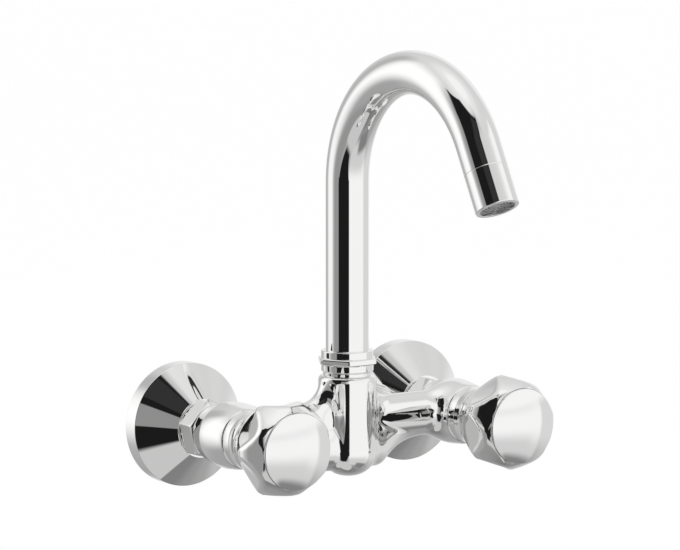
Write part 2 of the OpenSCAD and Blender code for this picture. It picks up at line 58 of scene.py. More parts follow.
INLET_X = 75.0
FLANGE_R, FLANGE_RIM, FLANGE_DEPTH, FLANGE_WALL, FLANGE_MOUTH_R = 34.5, 9.5, 25.6, 1.2, 16.4
FLANGE_HOLE_R = 13.52
UNION_AF, NUT_BACK, NUT_FRONT = 30.0, 25.9, 38.9
UNION_BORE_R, UNION_LIP_R, UNION_LIP, UNION_CHAMFER = 13.27, 10.52, 1.85, 1.6
BARREL_BACK, BARREL_LENGTH, BARREL_R = 39.4, 31.0, 18.0
BARREL_FRONT = BARREL_BACK + BARREL_LENGTH
BARREL_FULLEST, BARREL_TAPER, BARREL_TUCK = 0.54, 1.45, 0.55
AXIS_FROM_WALL = 57.0
ARM_OFFSET, ARM_RISE, ARM_HEIGHT, ARM_DEPTH = 2.0, 1.2, 25.2, 18.0
BOSS_R, BOSS_TOP, BOSS_DROP = 16.2, 28.0, 29.0
BOSS_ROUND_FROM, BOSS_POWER, BOSS_LEAN = -14.0, 2.2, 1.0
BOSS_EDGE, BARREL_BACK_EDGE, BARREL_FRONT_EDGE = 3.6, 1.6, 0.9
BLEND_TOP, BLEND_SIDE, BLEND_UNDER, BLEND_BARREL = 14.0, 4.0, 38.0, 8.0
BLEND_TOP_FROM, BLEND_UNDER_FROM, BLEND_UNDER_RUN = 0.25, 0.2, 1.2  # in radii of the boss
NECK_R, NECK_ROOT, NECK_TOP = 13.1, 12, 37
SHOULDER, SHOULDER_TOP = 0.45, 29.7
SOCKET_R, SOCKET_FLOOR = 10.3, 20
NUT_BASE, NUT_TOP = 30.0, 41.6
NUT_COLLAR_R, NUT_AF, NUT_HEX_T, NUT_CHAMFER = 14.6, 31.0, 3.9, 1.1
NUT_CLEARANCE, NUT_LIP = 0.05, 2.2
KNOB_R, KNOB_LENGTH, KNOB_NECK_R = 27.6, 45.2, 15.4
KNOB_BACK = BARREL_FRONT + 0.8
KNOB_FRONT = KNOB_BACK + KNOB_LENGTH
KNOB_HOLLOW_R, KNOB_HOLLOW_END, CAP_RECESS = 12.8, 15.2, 0.9
FACETS, HOLLOW_R, FLAT_R = 6, 26.0, 120.0
CAP_R, CAP_DOME, CAP_EDGE = 21.1, 4.5, 0.7
CAP_BACK, CAP_RIM = KNOB_FRONT - 1, KNOB_FRONT + 3.4
CAP_DOME_R = (CAP_R**2 + CAP_DOME**2) / (2 * CAP_DOME)
TUBE_R, TUBE_BORE_R, TUBE_START = 12.0, 10.6, 37.3
BEND_START, BEND_R, BEND_ANGLE = 135.2, 65.0, math.radians(151.6)
TAIL_LENGTH, COLLAR_LENGTH = 15.4, 22.0
COLLAR_END = TAIL_LENGTH + COLLAR_LENGTH
COLLAR_GAP, COLLAR_BORE_R, COLLAR_MOUTH_R, COLLAR_LIP = 0.15, 10.45, 9.7, 2

# Where the shapes here go beyond the source's.
BARREL_PROUD = 0.3  # a barrel's front face stands this much further from the wall
RIM_REACH = 2.5  # the visible rim of a knob comes this much further over the side of its cap
RIM_END = KNOB_LENGTH + RIM_REACH
RIM_SLOPE = 1.4
KNOB_TURN = {"left": 1, "right": 39}  # degrees from local X to a flat facet

# ------------------------------------------------------------------ meshes from arrays

FINE_COLUMNS, FINEST_COLUMNS = 192, 240


def unit(v):
    """Vectors of length 1 along the last axis: each is divided by its own length."""
    return v / np.maximum(np.linalg.norm(v, axis=-1, keepdims=True), 1e-12)


def make_piece(name, points, faces, normals, body, stands_for, slot="chrome"):
    """A piece from vertices in millimetres, faces (one index array for each face size) and the
    surface's own normals. It rides on a body and may stand for CAD nodes."""
    mesh = bpy.data.meshes.new(name)
    mesh.vertices.add(len(points))
    mesh.vertices.foreach_set("co", (np.asarray(points) * MM).astype(np.float32).ravel())
    corners = np.concatenate([f.ravel() for f in faces])
    sizes = np.concatenate([np.full(len(f), f.shape[1]) for f in faces])
    starts = np.concatenate([[0], np.cumsum(sizes)[:-1]])
    mesh.loops.add(len(corners))
    mesh.loops.foreach_set("vertex_index", corners.astype(np.int32))
    mesh.polygons.add(len(sizes))
    mesh.polygons.foreach_set("loop_start", starts.astype(np.int32))
    mesh.polygons.foreach_set("use_smooth", np.ones(len(sizes), bool))
    mesh.update(calc_edges=True)
    mesh.validate()
    mesh.normals_split_custom_set_from_vertices(np.asarray(normals).tolist())
    piece = bpy.data.objects.new(name, mesh)
    bpy.context.scene.collection.objects.link(piece)
    mesh.materials.append(FINISH[slot])
    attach(piece, body)
    if stands_for:
        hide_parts(*stands_for)
    return piece


def net(points, normals, round_rows=False):
    """Vertices, faces and normals of a grid of points whose columns close on themselves. The rows
    close too where round_rows is true, and a row that shrinks to a point becomes a pole."""
    rows, columns = points.shape[:2]
    at = np.arange(rows * columns).reshape(rows, columns)
    if not round_rows:
        for end in (0, rows - 1):
            if np.ptp(points[end], axis=0).max() < 1e-6:
                at[end] = at[end, 0]
    low, high = (at, np.roll(at, -1, 0)) if round_rows else (at[:-1], at[1:])
    quads = np.stack([low, np.roll(low, -1, 1), np.roll(high, -1, 1), high], -1).reshape(-1, 4)
    flat_low, flat_high = quads[:, 0] == quads[:, 1], quads[:, 2] == quads[:, 3]
    faces = [
        quads[~flat_low & ~flat_high],
        quads[flat_low][:, [1, 2, 3]],
        quads[flat_high][:, [0, 1, 2]],
    ]
    faces = [f for f in faces if len(f)]
    used = np.unique(np.concatenate([f.ravel() for f in faces]))
    new = np.zeros(rows * columns, int)
    new[used] = np.arange(len(used))
    return points.reshape(-1, 3)[used], [new[f] for f in faces], normals.reshape(-1, 3)[used]


def grid_normals(points):
    """Normals of a grid with closed columns: the cross product of its two directions."""
    across = np.roll(points, -1, 1) - np.roll(points, 1, 1)
    return unit(np.cross(across, np.gradient(points, axis=0)))


def round_angles(count):
    """Evenly spaced angles over one turn, the last a step short of closing it."""
    return np.linspace(0, 2 * math.pi, count, endpoint=False)


def spokes(angle):
    """The horizontal unit vectors (cosine, sine, 0) at these angles."""
    return np.stack([np.cos(angle), np.sin(angle), 0 * angle], -1)


def swung(v, angle):
    """The plane vector v, turned by an angle."""
    c, s = math.cos(angle), math.sin(angle)
    return np.array([v[0] * c - v[1] * s, v[0] * s + v[1] * c])


def rounded(corners, closed=False, steps=6):
    """A profile from corners (r, z, radius): straight runs joined by arcs of that radius. An arc
    starts before its corner by the radius times the tangent of half the turn. Returns the points,
    their normals, which point to the right of the way the profile runs, and whether it closes."""
    at = np.array([c[:2] for c in corners], float)
    last = len(at) - 1
    points, normals = [], []
    for i, (_, _, radius) in enumerate(corners):
        before = unit(at[i] - at[i - 1]) if i or closed else None
        after = unit(at[(i + 1) % len(at)] - at[i]) if i < last or closed else None
        if radius == 0 or before is None or after is None:
            for way in (before, after):
                if way is not None:
                    points.append(at[i])
                    normals.append((way[1], -way[0]))
            continue
        turn = math.atan2(before[0] * after[1] - before[1] * after[0], before @ after)
        start = at[i] - before * abs(radius * math.tan(turn / 2))
        bend = math.copysign(1, turn)
        arm = bend * np.array([before[1], -before[0]])
        for t in np.linspace(0, turn, steps + 1):
            ray = swung(arm, t)
            points.append(start - radius * arm + radius * ray)
            normals.append(bend * ray)
    return np.array(points), np.array(normals), closed


def turned(profile, sides=144, limit=None):
    """Carries a profile round the local Z axis: radius times spoke, plus height. limit may cut the
    turned points and their normals back, as the flats of a hexagon do."""
    line, out, closed = profile
    angle = round_angles(sides)
    points = line[:, None, :1] * spokes(angle) + line[:, None, 1:] * UP
    normals = out[:, None, :1] * spokes(angle) + out[:, None, 1:] * UP
    if limit is not None:
        points, normals = limit(angle, points, normals)
    return points, normals, closed


# ------------------------------------------------------------------ places
#
# A place carries points from local millimetres to the model's frame. Where at is 0 it only turns
# them, as normals need.


def on_inlet(side):
    """The place of an inlet: local Z runs from the wall to the user."""
    return lambda p, at=1: np.stack([at * side * INLET_X + p[..., 0], -p[..., 2], p[..., 1]], -1)


def on_spout_axis(p, at=1):
    """The place of the spout's axis: local Z runs up it."""
    return p + at * np.array([0.0, -AXIS_FROM_WALL, 0.0])


def on_spout_tail(p, at=1):
    """The place of the bend's end: local Z runs along the flow out of the spout, which is the way
    up, turned about X by the angle of the bend."""
    c, s = math.cos(BEND_ANGLE), math.sin(BEND_ANGLE)
    moved = np.stack([p[..., 0], p[..., 1] * c - p[..., 2] * s, p[..., 1] * s + p[..., 2] * c], -1)
    return moved + at * np.array([0.0, -AXIS_FROM_WALL - BEND_R * (1 - c), BEND_START + BEND_R * s])


def in_the_model(p, at=1):
    """The identity, for forms that are worked out in the model's frame."""
    return p


def moved_along(place, distance):
    """The place, with the local origin moved along its Z axis."""
    return lambda p, at=1: place(p + at * np.array([0.0, 0.0, distance]), at)


def add(name, form, place, body, stands_for, slot="chrome"):
    """Places a turned or swept form and makes its piece."""
    points, normals, closed = form
    points, faces, normals = net(points, normals, closed)
    normals = unit(place(normals, at=0))
    return make_piece(name, place(points), faces, normals, body, stands_for, slot)


# ------------------------------------------------------------------ finishes

SMEAR_FROM, SMEAR_CONTRAST, SMEAR_SOFT, SMEAR_DETAIL = 0.45, 4.0, 0.2, 4.0
WAVE_SCALE, WAVE_HEIGHT, WAVE_DETAIL = 90.0, 0.0002, 1.0
GRAIN_HEIGHT, GRAIN_DETAIL = 0.0001, 3.0
SHADE_SCALE, SHADE_DETAIL = 60.0, 2.0


def link(tree, source, target):
    """Links an output socket to an input socket."""
    tree.links.new(source, target)


def feed(tree, value, socket):
    """Sets an input socket to a number, or links an output socket to it."""
    if isinstance(value, (int, float)):
        socket.default_value = value
    else:
        link(tree, value, socket)


def node_tree(material):
    """An empty material tree with its output and one Principled shader."""
    material.use_nodes = True
    tree = material.node_tree
    tree.nodes.clear()
    out = tree.nodes.new("ShaderNodeOutputMaterial")
    shader = tree.nodes.new("ShaderNodeBsdfPrincipled")
    link(tree, shader.outputs[0], out.inputs[0])
    return tree, shader


def group_of(name, inputs, outputs):
    """A shader node group with float inputs (name, value) and typed outputs."""
    group = bpy.data.node_groups.new(name, "ShaderNodeTree")
    for label, value in inputs:
        socket = group.interface.new_socket(label, in_out="INPUT", socket_type="NodeSocketFloat")
        socket.default_value = value
    for label, kind in outputs:
        group.interface.new_socket(label, in_out="OUTPUT", socket_type=kind)
    return group, group.nodes.new("NodeGroupInput"), group.nodes.new("NodeGroupOutput")


def math_node(tree, kind, a, b=None, c=None):
    """One Math node. Each of a, b and c is a socket or a number."""
    made = tree.nodes.new("ShaderNodeMath")
    made.operation = kind
    for socket, value in zip(made.inputs, (a, b, c)):
        if value is not None:
            feed(tree, value, socket)
    return made.outputs[0]


def noise(tree, vector, scale, detail):
    """Noise from 0 to 1 over a vector. The scale is a socket or a number."""
    made = tree.nodes.new("ShaderNodeTexNoise")
    link(tree, vector, made.inputs["Vector"])
    feed(tree, scale, made.inputs["Scale"])
    made.inputs["Detail"].default_value = detail
    return made.outputs["Fac"]


def bump_to(tree, height, distance, strength, normal):
    """Feeds a normal from a height, as a bump of this distance in metres."""
    bump = tree.nodes.new("ShaderNodeBump")
    bump.inputs["Distance"].default_value = distance
    link(tree, strength, bump.inputs["Strength"])
    link(tree, height, bump.inputs["Height"])
    link(tree, bump.outputs[0], normal)


def polish_group():
    """Polished plate. Handling smears, which are noise over a threshold, held softly under 1, add
    to the roughness, and a broad noise gives the plate the slight wave of the polishing wheel."""
    group, given, made = group_of(
        "polish",
        [("Roughness", 0.03), ("Smears", 0.02), ("Smear scale", 30.0), ("Wave", 0.02)],
        [("Roughness", "NodeSocketFloat"), ("Normal", "NodeSocketVector")],
    )
    where = group.nodes.new("ShaderNodeTexCoord").outputs["Object"]
    patches = noise(group, where, given.outputs["Smear scale"], SMEAR_DETAIL)
    patches = math_node(group, "SUBTRACT", patches, SMEAR_FROM)
    patches = math_node(group, "MULTIPLY", patches, SMEAR_CONTRAST)
    patches = math_node(group, "SMOOTH_MIN", patches, 1.0, SMEAR_SOFT)
    patches = math_node(group, "MAXIMUM", patches, 0.0)
    smear = math_node(group, "MULTIPLY", patches, given.outputs["Smears"])
    roughness = math_node(group, "ADD", given.outputs["Roughness"], smear)
    link(group, roughness, made.inputs["Roughness"])
    wave = noise(group, where, WAVE_SCALE, WAVE_DETAIL)
    bump_to(group, wave, WAVE_HEIGHT, given.outputs["Wave"], made.inputs["Normal"])
    return group


def grain_group():
    """Fine uneven grain of a moulded, lapped or machined surface. A fine noise about its middle,
    times Spread, adds to the roughness and also bumps the surface, and a broad one, times Shade,
    varies the brightness about 1."""
    group, given, made = group_of(
        "grain",
        [("Roughness", 0.4), ("Spread", 0.1), ("Scale", 900.0), ("Bump", 0.1), ("Shade", 0.1)],
        [
            ("Shade", "NodeSocketFloat"),
            ("Roughness", "NodeSocketFloat"),
            ("Normal", "NodeSocketVector"),
        ],
    )
    where = group.nodes.new("ShaderNodeTexCoord").outputs["Object"]
    fine = noise(group, where, given.outputs["Scale"], GRAIN_DETAIL)
    centred = math_node(group, "SUBTRACT", fine, 0.5)
    spread, roughness = given.outputs["Spread"], given.outputs["Roughness"]
    roughness = math_node(group, "MULTIPLY_ADD", centred, spread, roughness)
    link(group, roughness, made.inputs["Roughness"])
    broad = math_node(group, "SUBTRACT", noise(group, where, SHADE_SCALE, SHADE_DETAIL), 0.5)
    shade = math_node(group, "MULTIPLY_ADD", broad, given.outputs["Shade"], 1.0)
    link(group, shade, made.inputs["Shade"])
    bump_to(group, fine, GRAIN_HEIGHT, given.outputs["Bump"], made.inputs["Normal"])
    return group


POLISH = polish_group()
GRAIN = grain_group()


def with_effect(name, group, metallic, settings):
    """A material whose roughness and normal come from an effect group, set to these values."""
    material = bpy.data.materials.new(name)
    tree, shader = node_tree(material)
    shader.inputs["Metallic"].default_value = metallic
    effect = tree.nodes.new("ShaderNodeGroup")
    effect.node_tree = group
    for label, value in settings.items():
        effect.inputs[label].default_value = value
    link(tree, effect.outputs["Roughness"], shader.inputs["Roughness"])
    link(tree, effect.outputs["Normal"], shader.inputs["Normal"])
    return material, tree, shader, effect


def polished(name, colour, roughness, smears, smear_scale, wave):
    """A mirror-polished metal."""
    settings = {
        "Roughness": roughness,
        "Smears": smears,
        "Smear scale": smear_scale,
        "Wave": wave,
    }
    material, _, shader, _ = with_effect(name, POLISH, 1.0, settings)
    shader.inputs["Base Color"].default_value = (*colour, 1)
    return material


def grained(name, colour, metallic, roughness, spread, scale, bump, shade):
    """A moulded, lapped or machined material, whose colour is scaled by the grain's shade."""
    settings = {
        "Roughness": roughness,
        "Spread": spread,
        "Scale": scale,
        "Bump": bump,
        "Shade": shade,
    }
    material, tree, shader, effect = with_effect(name, GRAIN, metallic, settings)
    tint = tree.nodes.new("ShaderNodeVectorMath")
    tint.operation = "SCALE"
    tint.inputs[0].default_value = colour
    link(tree, effect.outputs["Shade"], tint.inputs["Scale"])
    link(tree, tint.outputs[0], shader.inputs["Base Color"])
    return material


FINISH = {
    # name, colour, roughness, smears, scale of the smears, wave
    "chrome": polished("polished_chrome", (0.93, 0.93, 0.925), 0.025, 0.03, 28.0, 0.03),
    "cap_chrome": polished("cap_chrome", (0.94, 0.94, 0.935), 0.06, 0.03, 40.0, 0.02),
    # name, colour, metallic, roughness and its spread, scale of the grain, bump, shade
    "brass": grained("machined_brass", (0.76, 0.6, 0.32), 1.0, 0.3, 0.15, 1500.0, 0.2, 0.1),
    "rubber": grained("moulded_rubber", (0.035, 0.035, 0.036), 0.0, 0.6, 0.2, 2000.0, 0.3, 0.3),
    "ceramic": grained("lapped_ceramic", (0.88, 0.86, 0.82), 0.0, 0.2, 0.1, 3000.0, 0.1, 0.05),
    "steel": grained("bright_steel", (0.62, 0.62, 0.63), 1.0, 0.22, 0.1, 1800.0, 0.2, 0.08),
    "white_plastic": grained(
        "white_acetal", (0.83, 0.83, 0.82), 0.0, 0.45, 0.15, 1600.0, 0.15, 0.05
    ),
    "grey_plastic": grained("grey_plastic", (0.42, 0.42, 0.43), 0.0, 0.42, 0.15, 1600.0, 0.2, 0.1),
}
for part in frame["record"]["subparts"]:
    shown = nodes[part["node"]]
    shown.data.materials.clear()
    shown.data.materials.append(FINISH[part["material_slot"]])

# ------------------------------------------------------------------ the cast body

CASTING_LOW, CASTING_HIGH, CASTING_CELL = (-94.5, -75.3, -30.7), (94.5, -38.3, 29.3), 0.7
SLIDES = 4


def barrel_radius(d):
    """Radius of a valve barrel at distance d from the wall: fullest just in front of its middle,
    and less by the square and the fourth power of the half lengths from there."""
    t = (d - BARREL_BACK - BARREL_FULLEST * BARREL_LENGTH) / (BARREL_LENGTH / 2)
    return BARREL_R - BARREL_TAPER * t**2 - BARREL_TUCK * t**4


def filled_min(a, b, width):
    """The smaller of two distances, with the corner between them filled over a width: where they
    differ by less than it, the square of what is lacking, over four widths, is taken off."""
    return np.minimum(a, b) - np.maximum(width - np.abs(a - b), 0) ** 2 / (4 * width)


def rounded_max(a, b, width):
    """The larger of two distances, with the edge between them rounded over a width: filled_min
    with every sign turned."""
    return -filled_min(-a, -b, width)


def ease(t):
    """Smooth from 0 to 1: three squares of t less two cubes, held at the ends."""
    u = np.clip(t, 0, 1)
    return u * u * (3 - 2 * u)


def body_distance(x, y, z):
    """Distance outside the casting: its boss, arms and barrels, blended into each other. The boss
    is a round post that closes underneath as a super-ellipse, the arms are an ellipse in section
    and the barrels are turned. The boss's blend is widest under it and fades out straight above
    and below its axis, where there is no corner to fill."""
    d, y = -y, y + AXIS_FROM_WALL
    under = np.maximum(0, BOSS_ROUND_FROM - z) / (BOSS_DROP + BOSS_ROUND_FROM)
    across = np.sqrt(x**2 + (y + BOSS_LEAN * under) ** 2) / BOSS_R
    boss = BOSS_R * ((across**BOSS_POWER + under**BOSS_POWER) ** (1 / BOSS_POWER) - 1)
    boss = rounded_max(boss, z - BOSS_TOP, BOSS_EDGE)
    arm = np.sqrt(((y - ARM_OFFSET) / ARM_DEPTH) ** 2 + ((z - ARM_RISE) / ARM_HEIGHT) ** 2)
    arm = (arm * 2 - 1) * (ARM_DEPTH + ARM_HEIGHT) / 4
    arm = np.maximum(arm, np.abs(x) - INLET_X)
    barrel = np.sqrt((np.abs(x) - INLET_X) ** 2 + z**2) - barrel_radius(d)
    barrel = rounded_max(barrel, BARREL_BACK - d, BARREL_BACK_EDGE)
    barrel = rounded_max(barrel, d - BARREL_FRONT - BARREL_PROUD, BARREL_FRONT_EDGE)
    outer = filled_min(arm, barrel, BLEND_BARREL)
    up = (z - ARM_RISE) / np.maximum(np.sqrt((y - ARM_OFFSET) ** 2 + (z - ARM_RISE) ** 2), 1e-6)
    over = (BLEND_TOP - BLEND_SIDE) * ease(np.abs(x) / BOSS_R - BLEND_TOP_FROM)
    below = ease((np.abs(x) / BOSS_R - BLEND_UNDER_FROM) / BLEND_UNDER_RUN)
    below = (BLEND_UNDER - BLEND_SIDE) * below
    return filled_min(boss, outer, BLEND_SIDE + up**2 * np.where(up > 0, over, below))


def slope(distance, p, step=0.01):
    """Gradient of a distance function at points p, from its values a step to either side."""
    sides = []
    for k in range(3):
        e = np.zeros(3)
        e[k] = step
        sides.append((distance(*(p + e).T) - distance(*(p - e).T)) / (2 * step))
    return np.stack(sides, -1)


def skin_of(distance, low, high, cell):
    """The surface where a distance function is zero, as quads. Each cell of a lattice that the
    surface crosses gets one vertex, at the mean of its crossings, which then slides down the
    slope of the function onto the surface. Each lattice edge that it crosses gets one quad."""
    axes = [np.arange(low[k], high[k] + cell, cell) for k in range(3)]
    f = distance(*np.meshgrid(*axes, indexing="ij", sparse=True))
    inside = f < 0
    cells = np.array(f.shape) - 1
    total, count = np.zeros((*cells, 3)), np.zeros(cells)
    crossings = []
    for k in range(3):
        lo, hi = [slice(None)] * 3, [slice(None)] * 3
        lo[k], hi[k] = slice(None, -1), slice(1, None)
        ijk = np.stack(np.nonzero(inside[tuple(lo)] != inside[tuple(hi)]), -1)
        step, u, v = np.eye(3, dtype=int)[[k, (k + 1) % 3, (k + 2) % 3]]
        a, b = f[tuple(ijk.T)], f[tuple((ijk + step).T)]
        p = ijk.astype(float)
        p[:, k] += a / (a - b)
        around = [ijk - u - v, ijk - v, ijk, ijk - u]
        for c in around:
            np.add.at(total, tuple(c.T), p)
            np.add.at(count, tuple(c.T), 1)
        crossings.append((around, a < 0))
    used = count > 0
    number = np.full(cells, -1)
    number[used] = np.arange(used.sum())
    points = total[used] / count[used][:, None] * cell + np.array(low)
    for _ in range(SLIDES):
        g = slope(distance, points)
        slide = np.clip(distance(*points.T) / (g**2).sum(-1), -cell / 2, cell / 2)
        points = points - slide[:, None] * g
    quads = []
    for around, outward in crossings:
        q = np.stack([number[tuple(c.T)] for c in around], -1)
        quads.append(np.where(outward[:, None], q, q[:, ::-1]))
    return points, [np.concatenate(quads)], unit(slope(distance, points))


casting = skin_of(body_distance, CASTING_LOW, CASTING_HIGH, CASTING_CELL)
make_piece("mixer_body_casting", *casting, "fixed_parts", ["mixer_body"])

# A corner of this profile and the next ones: its radius, its height or its distance from the
# wall, and the radius that rounds it.
neck = rounded(
    [
        (0, NECK_ROOT, 0),
        (NECK_R + SHOULDER, NECK_ROOT, 0),
        (NECK_R + SHOULDER, SHOULDER_TOP, 0.35),
        (NECK_R, SHOULDER_TOP, 0),
        (NECK_R, NECK_TOP, 0.3),
        (SOCKET_R, NECK_TOP, 0.3),
        (SOCKET_R, SOCKET_FLOOR, 0),
        (0, SOCKET_FLOOR, 0),
    ]
)
add("mixer_body_neck", turned(neck), on_spout_axis, "fixed_parts", [])

# ------------------------------------------------------------------ flanges and union nuts

HEXAGON_STEPS = 4
HEXAGON_EDGE = 0.12  # over this width two flats round into each other
LEAST_COSINE = 0.2  # stands in for that of a flat which faces away
FACE_INSET = 0.2  # a nut's end faces stop this far inside its flats


def hexagon(across_flats, turn):
    """Cuts a turned blank down to a hexagonal bar. Along a ray a flat lies at half the width over
    the cosine of the angle between them, and a soft minimum over the six rounds the edges."""

    def limit(angle, points, normals):
        away = np.stack([angle - turn - k * math.pi / 3 for k in range(6)])
        flats = across_flats / 2 / np.maximum(np.cos(away), LEAST_COSINE)
        bar = -np.log(np.exp(-flats / HEXAGON_EDGE).sum(0)) * HEXAGON_EDGE
        growth = (np.roll(bar, -1) - np.roll(bar, 1)) / (2 * (angle[1] - angle[0]))
        along = np.stack([-np.sin(angle), np.cos(angle), 0 * angle], -1)
        flat = unit(spokes(angle) * bar[:, None] - along * growth[:, None])
        share = np.minimum(1, bar / np.maximum(np.linalg.norm(points[..., :2], axis=-1), 1e-9))
        points = points * np.stack([share, share, np.ones_like(share)], -1)
        return points, np.where((share < 1)[..., None], flat, normals)

    return limit


def hexagon_side(across_flats, low, high, chamfer, edge):
    """Outer part of a nut's profile: both rims are chamfered from the flats to the corners, which
    stand at the width over the root of three."""
    face = across_flats / 2 - FACE_INSET
    corner = across_flats / math.sqrt(3)
    return [
        (face, low, edge),
        (corner, low + chamfer, 0.1),
        (corner, high - chamfer, 0.1),
        (face, high, edge),
    ]


flange = rounded(
    [
        (FLANGE_R - FLANGE_WALL, 0, 0.2),
        (FLANGE_R, 0, 0.3),
        (FLANGE_R, FLANGE_RIM, 0.5),
        (FLANGE_MOUTH_R, FLANGE_DEPTH, 0.25),
        (FLANGE_HOLE_R, FLANGE_DEPTH, 0.2),
        (FLANGE_HOLE_R, FLANGE_DEPTH - FLANGE_WALL, 0.2),
        (FLANGE_MOUTH_R - 0.6, FLANGE_DEPTH - 1.65, 0.5),
        (FLANGE_R - FLANGE_WALL, FLANGE_RIM - 1.15, 1.0),
    ],
    closed=True,
)
union_nut = rounded(
    [
        (UNION_BORE_R, NUT_BACK, 0.3),
        *hexagon_side(UNION_AF, NUT_BACK, NUT_FRONT, UNION_CHAMFER, 0.4),
        (UNION_LIP_R, NUT_FRONT, 0.3),
        (UNION_LIP_R, NUT_FRONT - UNION_LIP, 0.2),
        (UNION_BORE_R, NUT_FRONT - UNION_LIP, 0.2),
    ],
    closed=True,
    steps=HEXAGON_STEPS,
)
for name, side in SIDES.items():
    place = on_inlet(side)
    shell = turned(flange, FINEST_COLUMNS)
    add(f"wall_flange_{name}_shell", shell, place, "fixed_parts", [f"wall_flange_{name}"])
    bar = turned(union_nut, FINEST_COLUMNS, hexagon(UNION_AF, math.radians(15)))
    add(f"union_nut_{name}_hexagon", bar, place, "fixed_parts", [f"union_nut_{name}"])

# ------------------------------------------------------------------ knobs and caps

KNOB_OUTLINE = np.array(
    [
        # distance from the knob's back, radius
        (-0.4, KNOB_NECK_R + 0.7),
        (2.5, KNOB_NECK_R + 0.1),
        (4.4, KNOB_NECK_R - 0.1),
        (4.7, KNOB_NECK_R + 0.5),
        (5.1, KNOB_NECK_R + 1.0),
        (8.8, KNOB_NECK_R + 1.5),
        (12.8, KNOB_NECK_R + 2.5),
        (19.8, KNOB_R - 6.0),
        (26.8, KNOB_R - 2.4),
        (31.8, KNOB_R - 0.5),
        (34.8, KNOB_R - 0.2),
        (37.8, KNOB_R - 0.4),
        (40.8, KNOB_R - 1.3),
        (43.8, CAP_R + 3.7),
        (46.5, CAP_R + 1.8),
        (RIM_END, CAP_R + 0.8),
    ]
)
# The lines that the facets lean along: two points (radius, distance from the knob's back).
HOLLOW_LINE = (KNOB_NECK_R + 2.8, 13.8), (KNOB_R - 4.8, 32.8)
FLAT_LINE = (KNOB_R - 0.3, 35.3), (CAP_R + 1.2, 46.8)
FACET_SOFT, RIM_SOFT = 3.0, 0.3
RUN_OUT_FROM, RUN_OUT_SLOPE = 2, 1.5
FACING_COSINE = 0.3  # a facet cuts only the rays that it faces by more than this
NO_CUT = 1e3


def flowing(table, z):
    """A smooth line through a table of (z, value): a cubic in each gap, whose tilt at a point is
    the harmonic mean of the slopes beside it, or level where they differ in sign, so that it
    doesn't overshoot."""
    x, y = table.T
    gap = np.diff(x)
    rise = np.diff(y) / gap
    tilt = np.zeros(len(x))
    same = rise[1:] * rise[:-1] > 0
    tilt[1:-1][same] = (2 * rise[1:] * rise[:-1] / (rise[1:] + rise[:-1]))[same]
    tilt[0], tilt[-1] = rise[0], rise[-1]
    k = np.clip(np.searchsorted(x, z) - 1, 0, len(gap) - 1)
    t = np.clip((z - x[k]) / gap[k], 0, 1)
    return (
        (1 + 2 * t) * (1 - t) ** 2 * y[k]
        + t * (1 - t) ** 2 * gap[k] * tilt[k]
        + t * t * (3 - 2 * t) * y[k + 1]
        + t * t * (t - 1) * gap[k] * tilt[k + 1]
    )


def faceted(radius, angle, z, line, bar_r, turn):
    """Cuts a row of facets into a turned radius. Each facet is the side of a round bar that leans
    along a line: at every z the radius is at most the near crossing of the ray at this angle with
    a circle of the bar's radius. Behind the line's first point the cut runs out."""
    (r0, z0), (r1, z1) = line
    middle = r0 + (r1 - r0) * (z - z0) / (z1 - z0) + bar_r
    for k in range(FACETS):
        swing = angle - turn - k * 2 * math.pi / FACETS
        reach = bar_r**2 - (middle * np.sin(swing)) ** 2
        cut = middle * np.cos(swing) - np.sqrt(np.maximum(reach, 0))
        cut = cut + RUN_OUT_SLOPE * np.maximum(z0 - RUN_OUT_FROM - z, 0)
        cut = np.where((reach > 0) & (np.cos(swing) > FACING_COSINE), cut, NO_CUT)
        radius = filled_min(radius, cut, FACET_SOFT)
    return radius


def knob_form(turn, columns=480, rows=190):
    """Outer surface of a knob: its flared outline less two staggered rows of facets, the hollow
    ones behind and the flat ones in front, then a chamfered rim close around the cap, the recess
    of the cap and, at the back, the hollow over the valve."""
    angle = round_angles(columns)
    z = np.linspace(-0.1, RIM_END - 0.1, rows)[:, None]
    r = flowing(KNOB_OUTLINE, z) + 0 * angle
    r = faceted(r, angle, z, HOLLOW_LINE, HOLLOW_R, turn + math.pi / FACETS)
    r = faceted(r, angle, z, FLAT_LINE, FLAT_R, turn)
    r = filled_min(r, CAP_R + 0.2 + (RIM_END - z) * RIM_SLOPE, RIM_SOFT)
    outer = r[..., None] * spokes(angle) + z[..., None] * UP

    def level_ring(radius, height):
        """A ring at one height. The radius is one number, or one for each angle."""
        radius = np.broadcast_to(radius, angle.shape)
        return (radius[:, None] * spokes(angle) + height * UP)[None]

    back = [
        level_ring(0, KNOB_HOLLOW_END),
        level_ring(KNOB_HOLLOW_R, KNOB_HOLLOW_END),
        level_ring(KNOB_HOLLOW_R, -0.1),
        level_ring(KNOB_HOLLOW_R + 0.3, -0.4),
        level_ring(r[0] - 0.3, -0.4),
        level_ring(r[0] - 0.1, -0.3),
    ]
    rim, recess = CAP_R + 0.15, KNOB_LENGTH - CAP_RECESS
    front = [
        level_ring(rim + 0.05, RIM_END),
        level_ring(rim, RIM_END),
        level_ring(rim, RIM_END - 0.3),
        level_ring(rim, recess),
        level_ring(0, recess),
    ]
    points = np.concatenate([*back, outer, *front])
    return points, grid_normals(points), False


def cap_height(r):
    """Distance from the wall of the cap's dome at radius r: a sphere that rises over the rim by
    the dome's height in the middle."""
    return CAP_RIM + CAP_DOME - CAP_DOME_R + np.sqrt(CAP_DOME_R**2 - r**2)


